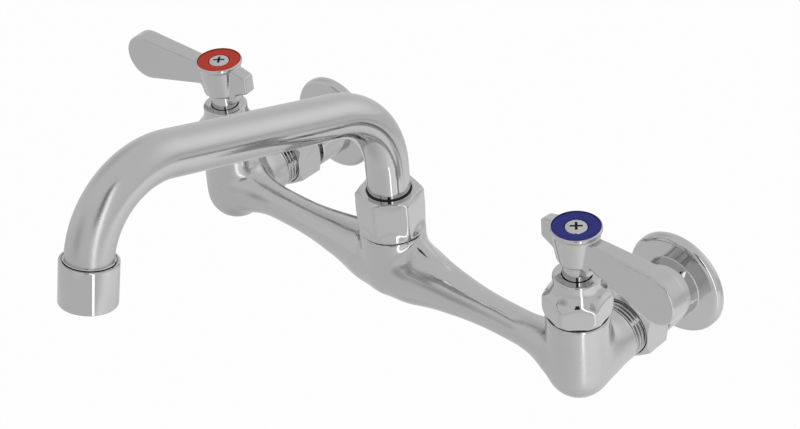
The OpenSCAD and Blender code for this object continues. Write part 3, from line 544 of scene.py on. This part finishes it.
# %% The spout nut
NUT_FLATS, NUT_FACING = 25.8, -45
NUT_BORE, NUT_LIP = 11.1, 9.65
NUT_LOW, NUT_TOP = 22.0, 41.4
WHEEL_RADIUS, WHEEL_REACH, WHEEL_HEIGHT = 60, 71.93, 48.75
blank = [(NUT_LIP, 36.0), (NUT_LIP, NUT_TOP), (12.3, NUT_TOP), (12.6, 41.3), (15.2, 40.1), (15.2, 29.5),
         (14.5, 25.0), (14.2, NUT_LOW), (NUT_BORE, NUT_LOW), (NUT_BORE, 36.0), (NUT_LIP, 36.0)]
nut = turned("swivel_nut", blank, 160)
combine(nut, hexagon(NUT_FLATS, 21, 43, NUT_FACING), "INTERSECT")
for i in range(6):
    rest()
    bpy.ops.mesh.primitive_uv_sphere_add(segments=96, ring_count=96, radius=WHEEL_RADIUS * MM,
                                         location=(WHEEL_REACH * MM, 0, WHEEL_HEIGHT * MM))
    wheel = bpy.context.object
    bpy.ops.object.transform_apply(location=True, rotation=True, scale=True)
    place(wheel, Matrix.Rotation(math.radians(60 * i + NUT_FACING), 4, "Z"))
    combine(nut, wheel, "DIFFERENCE")
foot = turned("foot", [(NUT_BORE, NUT_LOW), (14.2, NUT_LOW), (14.4, 22.3), (14.4, 23.2), (14.1, 24.2),
                       (13.5, 25.2), (12.95, 26.4), (12.6, 27.6), (NUT_BORE, 27.6), (NUT_BORE, NUT_LOW)],
              160)
combine(nut, foot, "UNION")
recast(nut, 0.3, 4)
soften(nut, 16, lambda point: ease(point.z, 22.2, 25) * ease(40.8 - point.z, 0, 3))
soften(nut, 60, lambda point: ease(point.z, 22.6, 24.5) * ease(32 - point.z, 0, 6))
soften(nut, 30, lambda point: ease(point.z, 33, 38) * ease(41.2 - point.z, 0, 1))
smooth(place(nut, at_hub), 50)
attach(nut, "body")
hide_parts("spout_nut")
print("spout nut:", triangles(nut), "triangles")

# %% [markdown]
# ## The spout
# The spout is one drawn tube: up, over a wide bend, out on a gentle climb, and down at the tip. A
# curve with a round bevel would do, but its bends are hard to keep to a true radius. So a circle is
# extruded along the straights and spun round the bends, as a tube bender works.

# %% Bending the tube
RISE, FALL = 18.2, 76.4             # degrees: the run climbs, and the tip points down
RISER_TOP, RUN = 53.8, 87.54        # the height of the first bend, and the run's length
BEND, TIP_BEND = 39.8, 32.6         # radii of the tube's middle line in the two bends
TUBE_RADIUS, TUBE_WALL = 9.25, 1.2
TUBE_LOW, TUBE_END = 36.5, 7.8


def swept(name, radius, low, end):
    """A round section led along the spout's path, from height low to a length end past the tip
    bend. Local +X leads along the spout. The tube comes with the point where the tip bend ends."""
    rest()
    bpy.ops.mesh.primitive_circle_add(vertices=96, radius=radius * MM, location=(0, 0, low * MM),
                                      fill_type="NOTHING")
    tube = bpy.context.object
    tube.name = name
    bpy.ops.object.transform_apply(location=True, rotation=True, scale=True)
    bpy.ops.object.mode_set(mode="EDIT")
    bpy.ops.mesh.select_all(action="SELECT")
    bpy.ops.mesh.extrude_region_move(TRANSFORM_OT_translate={"value": (0, 0, (RISER_TOP - low) * MM)})
    over = math.radians(90 - RISE)
    bpy.ops.mesh.spin(steps=36, angle=over, center=(BEND * MM, 0, RISER_TOP * MM), axis=(0, -1, 0))
    along = Vector((math.cos(math.radians(RISE)), 0, math.sin(math.radians(RISE))))
    bpy.ops.mesh.extrude_region_move(TRANSFORM_OT_translate={"value": along * RUN * MM})
    start = Vector((BEND * (1 - math.cos(over)), 0, RISER_TOP + BEND * math.sin(over))) + along * RUN
    centre = start + Vector((math.sin(math.radians(RISE)), 0, -math.cos(math.radians(RISE)))) * TIP_BEND
    bpy.ops.mesh.spin(steps=48, angle=math.radians(RISE + FALL), center=centre * MM, axis=(0, -1, 0))
    down = Vector((math.cos(math.radians(FALL)), 0, -math.sin(math.radians(FALL))))
    bpy.ops.mesh.extrude_region_move(TRANSFORM_OT_translate={"value": down * end * MM})
    bpy.ops.mesh.select_all(action="SELECT")
    bpy.ops.mesh.remove_doubles(threshold=1e-6)
    rest()
    tip = centre + Vector((math.sin(math.radians(FALL)), 0, math.cos(math.radians(FALL)))) * TIP_BEND
    return tube, tip


at_spout = at_hub @ Matrix.Rotation(math.radians(-90), 4, "Z")
tube, tip_point = swept("spout_pipe", TUBE_RADIUS, TUBE_LOW, TUBE_END)
only(tube)
bpy.ops.object.mode_set(mode="EDIT")
bpy.ops.mesh.select_all(action="SELECT")
bpy.ops.mesh.normals_make_consistent(inside=False)
rest()
apply(tube, "SOLIDIFY", thickness=TUBE_WALL * MM, offset=-1)
place(smooth(tube), at_spout)
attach(tube, "spout")
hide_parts("spout_tube")
print("spout tip at", [round(c, 1) for c in tip_point], "tube:", triangles(tube), "triangles")

# %% The wiper ring at its foot
wiper_outline = arc((9.5, 41.6), 0.24, -180, 180, 16)
wiper = place(smooth(turned("wiper", wiper_outline, 160), 60), at_hub)
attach(wiper, "spout")
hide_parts("wiper_ring")
print("wiper ring:", triangles(wiper), "triangles")

# %% [markdown]
# ## The aerator
# A short smooth shell screws over the spout's tip, on a collar. From below one sees a moulded insert
# full of small holes, behind the shell's rolled lip. The holes are drilled one by one, in rings, so
# that light falls through them, where a painted pattern would stay flat.

# %% The collar and the shell
at_tip = at_spout @ Matrix.Translation(tip_point * MM) @ Matrix.Rotation(math.radians(90 + FALL), 4, "Y")
collar_outline = [(9.2, -0.5), (9.6, -0.5), (9.85, -0.25), (9.85, 2.2), (10.25, 2.2), (10.25, 9.0),
                  (9.2, 9.0), (9.2, -0.5)]
collar = place(smooth(turned("spout_tip_collar", collar_outline, 160)), at_tip)
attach(collar, "spout")
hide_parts("spout_tube")
shell_outline = ([(10.3, 0.0), (10.75, 0.0)] + arc((10.75, 0.5), 0.5, -90, 0, 5)
                 + arc((10.65, 17.1), 0.6, 0, 90, 6) + arc((9.6, 17.1), 0.6, 90, 180, 6)
                 + [(9.0, 10.2), (10.3, 10.2), (10.3, 0.0)])
shell = place(smooth(turned("aerator_sleeve", shell_outline, 160)), at_tip)
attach(shell, "spout")
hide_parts("aerator_shell")
print("aerator shell:", triangles(shell), "triangles")

# %% The drilled insert
HOLE_RINGS, HOLE_PITCH, HOLE_RADIUS = 4, 2.25, 0.78
cup_outline = [(0, 13.6), (7.9, 13.6), (7.9, 9.2), (10.2, 9.2), (10.2, 10.1), (8.9, 10.1), (8.9, 15.0),
               (8.6, 15.3), (0, 15.3)]
insert = turned("aerator_cup", cup_outline, 96)
for ring in range(HOLE_RINGS):
    holes = max(1, 6 * ring)
    for i in range(holes):
        angle = math.tau * i / holes
        out = HOLE_PITCH * ring * MM
        rest()
        bpy.ops.mesh.primitive_cylinder_add(
            vertices=20, radius=HOLE_RADIUS * MM, depth=6 * MM,
            location=(out * math.cos(angle), out * math.sin(angle), 14.5 * MM))
        drill = bpy.context.object
        bpy.ops.object.transform_apply(location=True, rotation=True, scale=True)
        combine(insert, drill, "DIFFERENCE")
place(smooth(insert), at_tip)
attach(insert, "spout")
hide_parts("aerator_insert")
print("aerator insert:", triangles(insert), "triangles")

# %% The casting rides too
casting = [body, neck] + list(threads.values())
for piece in casting:
    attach(piece, "body")
    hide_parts("faucet_body")
print("pieces of the casting:", len(casting))

# %% [markdown]
# ## Finishes
# Chrome is a thin bright plating: a metal whose colour is a light grey, polished to a mirror. Real
# chrome is never perfectly even. So its roughness drifts a little, a very faint waviness makes the
# reflections swim, and soft pools of more roughness lie where a buffing wheel reaches badly: round
# the uprights and in the bend at the spout's tip. Rubber, enamel, steel and the rest come from the
# same helper, each with its own colour, drift and grain.

# %% Soft pools, for a finish or for light
def pool(tree, where, centre, reach, gain):
    """A node value that is gain at the centre and falls softly to nothing at reach."""
    nodes, links = tree.nodes, tree.links
    away = nodes.new("ShaderNodeVectorMath")
    away.operation = "DISTANCE"
    away.inputs[1].default_value = centre
    links.new(where, away.inputs[0])
    fall = nodes.new("ShaderNodeMapRange")
    fall.interpolation_type = "SMOOTHSTEP"
    fall.inputs["From Min"].default_value = reach
    fall.inputs["From Max"].default_value = 0.0
    fall.inputs["To Min"].default_value = 0.0
    fall.inputs["To Max"].default_value = gain
    links.new(away.outputs["Value"], fall.inputs["Value"])
    return fall.outputs["Result"]


def total(tree, start, values):
    """The sum of a number and some node values."""
    at = None
    for value in values:
        adder = tree.nodes.new("ShaderNodeMath")
        adder.operation = "ADD"
        adder.inputs[0].default_value = start
        if at is not None:
            tree.links.new(at, adder.inputs[0])
        tree.links.new(value, adder.inputs[1])
        at = adder.outputs[0]
    return at


# %% A helper for finishes
def finish(name, colour, metal, rough, spread, grain, bump, coat=0.0, tone=0.0, shine=0.5, dull=()):
    """A surface whose roughness drifts by spread, with a faint relief of that grain size in mm.
    tone darkens the colour in patches by that share, and dull lists pools of more roughness."""
    material = bpy.data.materials.new(name)
    material.use_nodes = True
    nodes, links = material.node_tree.nodes, material.node_tree.links
    shader = nodes["Principled BSDF"]
    shader.inputs["Metallic"].default_value = metal
    shader.inputs["Specular IOR Level"].default_value = shine
    if coat:
        shader.inputs["Coat Weight"].default_value = coat
    where = nodes.new("ShaderNodeTexCoord")
    patches = nodes.new("ShaderNodeTexNoise")
    patches.inputs["Scale"].default_value = 45
    patches.inputs["Detail"].default_value = 3
    links.new(where.outputs["Object"], patches.inputs["Vector"])
    drift = nodes.new("ShaderNodeMapRange")
    drift.inputs["From Min"].default_value = 0.3
    drift.inputs["From Max"].default_value = 0.7
    drift.inputs["To Min"].default_value = rough
    drift.inputs["To Max"].default_value = rough + spread
    links.new(patches.outputs["Fac"], drift.inputs["Value"])
    rougher = [pool(material.node_tree, where.outputs["Object"], *spot) for spot in dull]
    roughness = total(material.node_tree, 0.0, [drift.outputs["Result"]] + rougher)
    links.new(roughness, shader.inputs["Roughness"])
    tint = nodes.new("ShaderNodeMix")
    tint.data_type = "RGBA"
    tint.inputs["A"].default_value = (*colour, 1)
    tint.inputs["B"].default_value = (*[c * (1 - tone) for c in colour], 1)
    links.new(patches.outputs["Fac"], tint.inputs["Factor"])
    links.new(tint.outputs["Result"], shader.inputs["Base Color"])
    ripple = nodes.new("ShaderNodeTexNoise")
    ripple.inputs["Scale"].default_value = 1 / (grain * MM)
    ripple.inputs["Detail"].default_value = 2
    links.new(where.outputs["Object"], ripple.inputs["Vector"])
    relief = nodes.new("ShaderNodeBump")
    relief.inputs["Strength"].default_value = 1.0
    relief.inputs["Distance"].default_value = bump * MM
    links.new(ripple.outputs["Fac"], relief.inputs["Height"])
    links.new(relief.outputs["Normal"], shader.inputs["Normal"])
    return material


# %% The finishes of this faucet
CHROME = (0.565, 0.565, 0.570)
TIP_BEND_SPOT = [((0, -0.27, 0.06), 0.16, 0.36)]
UPRIGHTS = [((side * HALF * MM, VALVE_Y * MM, -0.002), 0.044, 0.26) for side in SIDES.values()]
BLACK = (0.012, 0.012, 0.012)
METAL, NONMETAL = 1.0, 0.0
finishes = {
    "cast_chrome": finish("cast_chrome", CHROME, METAL, 0.07, 0.05, 9.0, 0.010, tone=0.05, dull=UPRIGHTS),
    "satin_chrome": finish("bent_tube_chrome", CHROME, METAL, 0.06, 0.04, 14.0, 0.004, tone=0.05,
                           dull=TIP_BEND_SPOT),
    "chrome": finish("drawn_chrome", CHROME, METAL, 0.045, 0.03, 14.0, 0.004, tone=0.03),
    "brass": finish("turned_brass", (0.72, 0.50, 0.22), METAL, 0.22, 0.10, 0.8, 0.004, tone=0.12),
    "rubber": finish("black_rubber", BLACK, NONMETAL, 0.55, 0.15, 0.5, 0.01, tone=0.2),
    "fibre": finish("pressed_fibre", (0.30, 0.14, 0.07), NONMETAL, 0.75, 0.1, 0.4, 0.03, tone=0.3),
    "ceramic": finish("lapped_ceramic", (0.88, 0.87, 0.84), NONMETAL, 0.12, 0.06, 1.0, 0.002, coat=0.3,
                      tone=0.03),
    "plastic": finish("moulded_plastic", (0.80, 0.80, 0.78), NONMETAL, 0.38, 0.1, 0.8, 0.006, tone=0.04),
    # Black paint that stands in for the shade deep in the screws' cross recesses
    "recess": finish("oiled_recess", BLACK, NONMETAL, 0.5, 0.1, 0.4, 0.01, tone=0.2),
    "steel": finish("screw_steel", (0.60, 0.60, 0.60), METAL, 0.24, 0.1, 0.6, 0.006, tone=0.1),
    "hot_red": finish("red_enamel", (0.52, 0.033, 0.012), NONMETAL, 0.42, 0.08, 1.2, 0.004, shine=0.15,
                      tone=0.12),
    "cold_blue": finish("blue_enamel", (0.020, 0.026, 0.21), NONMETAL, 0.42, 0.08, 1.2, 0.004, shine=0.15,
                        tone=0.12),
}
print("finishes:", ", ".join(finishes))

# %% Finishes for the CAD nodes and for the new pieces
slots = {row["node"]: row["material_slot"] for row in frame["record"]["subparts"]}
for name, node in frame["nodes"].items():
    for slot in node.material_slots:
        slot.material = finishes[slots[name]]

FINISH_BY_ENDING = {"_casting": "cast_chrome", "_handle": "cast_chrome", "_pipe": "satin_chrome",
                    "_gasket": "rubber", "wiper": "rubber", "_screw": "steel", "_cup": "plastic",
                    "hot_index": "hot_red", "cold_index": "cold_blue"}
new_pieces = [o for o in bpy.context.scene.objects
              if o.type == "MESH" and o not in frame["nodes"].values()]
for piece in new_pieces:
    fitting = [look for ending, look in FINISH_BY_ENDING.items() if piece.name.endswith(ending)]
    piece.data.materials.clear()
    piece.data.materials.append(finishes[fitting[0] if fitting else "chrome"])
print("painted:", len(new_pieces), "new pieces")

# %% Painted shade in the screws' cross recesses
RECESS_RADIUS, RECESS_LOW, RECESS_TOP = 2.5, 64.9, 67.35
# The faces inside each cross are painted black, as painted shade for the depth of the recess.
for piece in [o for o in new_pieces if o.name.endswith("_screw")]:
    piece.data.materials.append(finishes["recess"])
    for face in piece.data.polygons:
        centre = face.center / MM
        inside = math.hypot(abs(centre.x) - HALF, centre.y - VALVE_Y) < RECESS_RADIUS
        face.material_index = 1 if inside and RECESS_LOW < centre.z < RECESS_TOP else 0
    print(piece.name, "faces in the recess:", sum(face.material_index for face in piece.data.polygons))

# %% [markdown]
# ## Floor, sky and lamps
# Chrome shows nothing but its surroundings, so the surroundings are the real subject. The room is
# evenly bright above, and a little darker below, where white paper reflects what falls on it. Soft
# pools of light and shade on the paper and in the sky give the broad shine. One tall strip lamp
# gives the crisp white line, a dark card gives the black marks beside it, and a bright card
# lightens the parts beside the cold valve. The camera itself sees pure white.

# %% Helpers for the room
def white_to_camera(tree, otherwise):
    """1 for a ray from the camera, and the given value for any other, with the ray's node."""
    ray = tree.nodes.new("ShaderNodeLightPath")
    choice = tree.nodes.new("ShaderNodeMix")
    choice.data_type = "FLOAT"
    choice.inputs["B"].default_value = 1.0
    tree.links.new(ray.outputs["Is Camera Ray"], choice.inputs["Factor"])
    tree.links.new(otherwise, choice.inputs["A"])
    return choice.outputs["Result"], ray


def towards(azimuth, elevation, distance=1.0):
    """A point that far off in a direction: azimuth 0 is straight in front, +90 is the cold side."""
    a, e = math.radians(azimuth), math.radians(elevation)
    return Vector((math.sin(a) * math.cos(e), -math.cos(a) * math.cos(e), math.sin(e))) * distance


# %% The floor
FLOOR_Z = -1.5
rest()
bpy.ops.mesh.primitive_plane_add(size=22, location=(0, 0, FLOOR_Z))
floor = bpy.context.object
floor.name = "studio_floor"
paper = bpy.data.materials.new("white_paper")
paper.use_nodes = True
tree = paper.node_tree
shader = tree.nodes["Principled BSDF"]
shader.inputs["Base Color"].default_value = (0.95, 0.95, 0.95, 1)
shader.inputs["Roughness"].default_value = 0.9
where = tree.nodes.new("ShaderNodeTexCoord").outputs["Object"]
PAPER_LIGHT = 0.72
PAPER_POOLS = [((1.9, -0.33, 0), 1.4, 0.34), ((0.75, 2.0, 0), 1.5, 0.2), ((2.9, 2.3, 0), 2.0, -0.22),
               ((0, -0.1, 0), 1.3, -0.2)]
lit = total(tree, PAPER_LIGHT, [pool(tree, where, *spot) for spot in PAPER_POOLS])
strength, ray = white_to_camera(tree, lit)
glow = tree.nodes.new("ShaderNodeEmission")
tree.links.new(strength, glow.inputs["Strength"])
seen = tree.nodes.new("ShaderNodeMath")
seen.operation = "MAXIMUM"
tree.links.new(ray.outputs["Is Camera Ray"], seen.inputs[0])
tree.links.new(ray.outputs["Is Glossy Ray"], seen.inputs[1])
share = tree.nodes.new("ShaderNodeMath")
share.operation = "MULTIPLY"
share.inputs[1].default_value = 0.95
tree.links.new(seen.outputs[0], share.inputs[0])
blend = tree.nodes.new("ShaderNodeMixShader")
tree.links.new(share.outputs[0], blend.inputs["Fac"])
tree.links.new(shader.outputs[0], blend.inputs[1])
tree.links.new(glow.outputs[0], blend.inputs[2])
tree.links.new(blend.outputs[0], tree.nodes["Material Output"].inputs["Surface"])
floor.data.materials.append(paper)
print("floor at", FLOOR_Z, "m, with", len(PAPER_POOLS), "pools")

# %% The sky
world = bpy.data.worlds.new("white_room")
bpy.context.scene.world = world
world.use_nodes = True
tree = world.node_tree
where = tree.nodes.new("ShaderNodeTexCoord").outputs["Generated"]
SKY_LIGHT = 0.78
SKY_POOLS = [(towards(-18, 12), 0.5, -0.3), (towards(155, 20), 0.75, 0.27), (towards(130, -4), 0.34, -0.2),
             (towards(-100, 30), 0.6, -0.16)]
sky = total(tree, SKY_LIGHT, [pool(tree, where, *spot) for spot in SKY_POOLS])
strength = white_to_camera(tree, sky)[0]
tree.links.new(strength, tree.nodes["Background"].inputs["Strength"])
tree.nodes["Background"].inputs["Color"].default_value = (1, 1, 1, 1)
print("sky with", len(SKY_POOLS), "pools")


# %% A strip of light
def window(name, centre, width, height, light):
    """A flat lamp that faces the faucet. light is how bright it looks, where white paper is 1."""
    lamp = bpy.data.lights.new(name, "AREA")
    lamp.shape = "RECTANGLE"
    lamp.size, lamp.size_y = width, height
    lamp.energy = 4 * light * width * height
    holder = bpy.data.objects.new(name, lamp)
    holder.location = centre
    holder.rotation_euler = Vector((-centre[0], -centre[1], 0)).to_track_quat("-Z", "Y").to_euler()
    holder.visible_camera = False
    bpy.context.scene.collection.objects.link(holder)


window("strip_window", (1.33, -0.90, 0.35), 0.16, 3.6, 1.7)
print("lamps:", len(bpy.data.lights))


# %% A dark card
def card(name, centre, facing, width, height):
    """A plane round a centre that faces a direction. Only shiny surfaces see it."""
    rest()
    bpy.ops.mesh.primitive_plane_add(size=1)
    board = bpy.context.object
    board.name = name
    board.scale = (width, height, 1)
    board.location = centre
    board.rotation_euler = facing.to_track_quat("Z", "Y").to_euler()
    for kind in ("visible_camera", "visible_diffuse", "visible_shadow"):
        setattr(board, kind, False)
    return board


felt = bpy.data.materials.new("black_felt")
felt.use_nodes = True
felt.node_tree.nodes["Principled BSDF"].inputs["Base Color"].default_value = (0.02, 0.02, 0.02, 1)
felt.node_tree.nodes["Principled BSDF"].inputs["Roughness"].default_value = 0.9
aside = towards(42, 41, 1.4)
dark_figure = card("dark_figure", aside + Vector((0, VALVE_Y * MM, 0)), -aside, 0.32, 0.92)
dark_figure.data.materials.append(felt)
print("dark card", round(aside.length, 2), "m away")

# %% A bright card that lies flat beside the cold valve
silk = bpy.data.materials.new("bright_silk")
silk.use_nodes = True
tree = silk.node_tree
where = tree.nodes.new("ShaderNodeTexCoord").outputs["Object"]
glow = tree.nodes.new("ShaderNodeEmission")
glow.inputs["Strength"].default_value = 1.08
blend = tree.nodes.new("ShaderNodeMixShader")
tree.links.new(pool(tree, where, (0, 0, 0), 0.5, 1.0), blend.inputs["Fac"])
tree.links.new(tree.nodes.new("ShaderNodeBsdfTransparent").outputs[0], blend.inputs[1])
tree.links.new(glow.outputs[0], blend.inputs[2])
tree.links.new(blend.outputs[0], tree.nodes["Material Output"].inputs["Surface"])
reflector = card("silk_reflector", Vector((0.42, -0.02, -0.12)), Vector((0, 0, 1)), 1.1, 0.8)
reflector.data.materials.append(silk)
print("bright card at", tuple(round(c, 2) for c in reflector.location))

# %% The scene's own settings
bpy.context.scene.view_settings.view_transform = "Standard"
